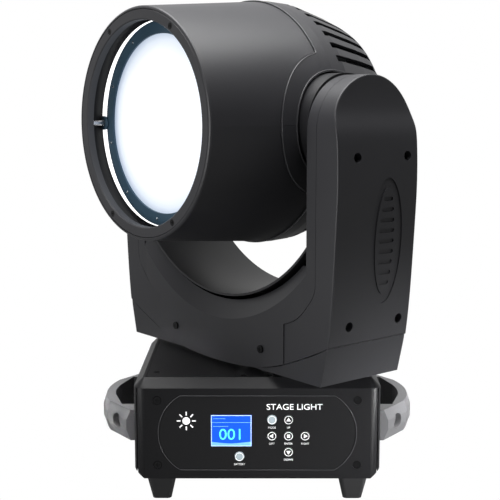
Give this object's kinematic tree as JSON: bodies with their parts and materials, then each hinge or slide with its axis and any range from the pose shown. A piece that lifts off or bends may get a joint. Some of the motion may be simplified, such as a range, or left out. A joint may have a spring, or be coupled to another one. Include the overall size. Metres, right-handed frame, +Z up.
{
  "type": "moving head light",
  "caption": "Moving head wash light: round lensed head tilting in a two-armed yoke that pans on a base with display, keys, side handles and rubber feet.",
  "frame": {"origin": "centre of the underside of the base plate, between the four bracket holes", "axes": "+Z up along the pan axis, control panel towards -Y, rear connectors towards +Y; at rest the yoke is turned 50.68 degrees clockwise seen from above and the head is level"},
  "size_m": [0.3836, 0.3836, 0.5536],
  "materials": {
    "housing_plastic": "fine satin texture",
    "base_paint": "satin black",
    "panel_plastic": "semi-gloss black",
    "handle_plastic": "satin black",
    "foot_rubber": "matte",
    "belt_rubber": "matte",
    "plate_steel": "zinc plated",
    "frame_aluminium": "plain sheet",
    "cast_aluminium": "black anodised",
    "sink_aluminium": "extruded",
    "carrier_paint": "dark satin",
    "screw_steel": "black oxide",
    "motor_steel": "black",
    "pulley_aluminium": "turned",
    "bearing_steel": "ground",
    "lens_glass": "polished",
    "window_glass": "polished",
    "display_lcd": "lit screen",
    "board_green": "circuit board",
    "key_black": "satin",
    "key_grey": "satin",
    "socket_blue": "satin",
    "socket_grey": "satin",
    "socket_black": "satin",
    "fan_plastic": "satin",
    "led_module": "plated"
  },
  "bodies": {
    "base": {"base_shell": "base_paint", "base_plate": "plate_steel", "feet": "foot_rubber", "top_plate": "base_paint", "front_panel": "panel_plastic", "display_window": "window_glass", "display_module": "display_lcd", "control_board": "board_green", "rear_panel": "base_paint", "power_inlet": "socket_blue", "power_outlet": "socket_grey", "data_sockets": "socket_black", "power_supply": "frame_aluminium", "handle_right": "handle_plastic", "handle_left": "handle_plastic", "pan_motor": "motor_steel", "pan_belt": "belt_rubber", "pan_bearing": "bearing_steel", "base_fan_frame": "fan_plastic", "base_screws": "screw_steel"},
    "pan_drive": {"pan_motor_pulley": "pulley_aluminium"},
    "base_fan": {"base_fan_rotor": "fan_plastic"},
    "yoke": {"pan_shaft": "bearing_steel", "pan_pulley": "pulley_aluminium", "arm_cover_near": "housing_plastic", "arm_cover_far": "housing_plastic", "yoke_front_cover": "housing_plastic", "yoke_rear_cover": "housing_plastic", "yoke_tray": "housing_plastic", "yoke_trough": "housing_plastic", "yoke_frame": "frame_aluminium", "tilt_bearings": "bearing_steel", "tilt_motor": "motor_steel", "tilt_belt": "belt_rubber", "yoke_screws": "screw_steel"},
    "tilt_drive": {"tilt_motor_pulley": "pulley_aluminium"},
    "head": {"front_bezel": "housing_plastic", "barrel_cover": "housing_plastic", "rear_cover_upper": "housing_plastic", "rear_cover_lower": "housing_plastic", "head_chassis": "frame_aluminium", "tilt_hub_near": "cast_aluminium", "tilt_hub_far": "cast_aluminium", "led_engine": "led_module", "heat_sink": "sink_aluminium", "head_fan_frame": "fan_plastic", "guide_rods": "bearing_steel", "zoom_motor": "motor_steel", "head_screws": "screw_steel"},
    "zoom_carriage": {"lens_carrier": "carrier_paint", "front_lens": "lens_glass"},
    "zoom_spindle": {"zoom_screw": "bearing_steel"},
    "head_fan": {"head_fan_rotor": "fan_plastic"},
    "mode_key": {"mode_button": "key_grey"},
    "up_key": {"up_button": "key_black"},
    "left_key": {"left_button": "key_black"},
    "enter_key": {"enter_button": "key_black"},
    "right_key": {"right_button": "key_black"},
    "down_key": {"down_button": "key_black"},
    "battery_key": {"battery_button": "key_grey"}
  },
  "joints": [
    {"name": "pan", "type": "hinge", "parent": "base", "child": "yoke", "pos_m": [0, 0, 0.1], "axis": [0, 0, 1], "range_deg": [-219.32, 320.68]},
    {"name": "tilt", "type": "hinge", "parent": "yoke", "child": "head", "pos_m": [0, 0, 0.3851], "axis": [-0.6337, 0.7736, 0], "range_deg": [-25, 205]},
    {"name": "zoom", "type": "slide", "parent": "head", "child": "zoom_carriage", "axis": [-0.7736, -0.6337, 0], "range_m": [-0.05, 0]},
    {"name": "zoom_screw_spin", "type": "hinge", "parent": "head", "child": "zoom_spindle", "pos_m": [0, 0, 0.4991], "axis": [-0.7736, -0.6337, 0], "range_deg": [-905, 5]},
    {"name": "pan_motor_spin", "type": "hinge", "parent": "base", "child": "pan_drive", "pos_m": [0.08, 0, 0.04], "axis": [0, 0, 1], "range_deg": [-955, 1395]},
    {"name": "tilt_motor_spin", "type": "hinge", "parent": "yoke", "child": "tilt_drive", "pos_m": [-0.10138, 0.12378, 0.16], "axis": [-0.6337, 0.7736, 0], "range_deg": [-85, 670]},
    {"name": "base_fan_spin", "type": "hinge", "parent": "base", "child": "base_fan", "pos_m": [-0.07, 0.1, 0.05145], "axis": [0, 1, 0], "continuous": true},
    {"name": "head_fan_spin", "type": "hinge", "parent": "head", "child": "head_fan", "pos_m": [0, 0, 0.3851], "axis": [-0.7736, -0.6337, 0], "continuous": true},
    {"name": "mode_press", "type": "slide", "parent": "base", "child": "mode_key", "axis": [0, 1, 0], "range_m": [0, 0.0012], "stiffness_N_per_m": 500},
    {"name": "up_press", "type": "slide", "parent": "base", "child": "up_key", "axis": [0, 1, 0], "range_m": [0, 0.0012], "stiffness_N_per_m": 500},
    {"name": "left_press", "type": "slide", "parent": "base", "child": "left_key", "axis": [0, 1, 0], "range_m": [0, 0.0012], "stiffness_N_per_m": 500},
    {"name": "enter_press", "type": "slide", "parent": "base", "child": "enter_key", "axis": [0, 1, 0], "range_m": [0, 0.0012], "stiffness_N_per_m": 500},
    {"name": "right_press", "type": "slide", "parent": "base", "child": "right_key", "axis": [0, 1, 0], "range_m": [0, 0.0012], "stiffness_N_per_m": 500},
    {"name": "down_press", "type": "slide", "parent": "base", "child": "down_key", "axis": [0, 1, 0], "range_m": [0, 0.0012], "stiffness_N_per_m": 500},
    {"name": "battery_press", "type": "slide", "parent": "base", "child": "battery_key", "axis": [0, 1, 0], "range_m": [0, 0.0012], "stiffness_N_per_m": 500}
  ],
  "couplings": [
    {"joint": "zoom_screw_spin", "follows": "zoom", "rad_per_m": 314.16},
    {"joint": "pan_motor_spin", "follows": "pan", "ratio": 4.3333},
    {"joint": "tilt_motor_spin", "follows": "tilt", "ratio": 3.25}
  ]
}
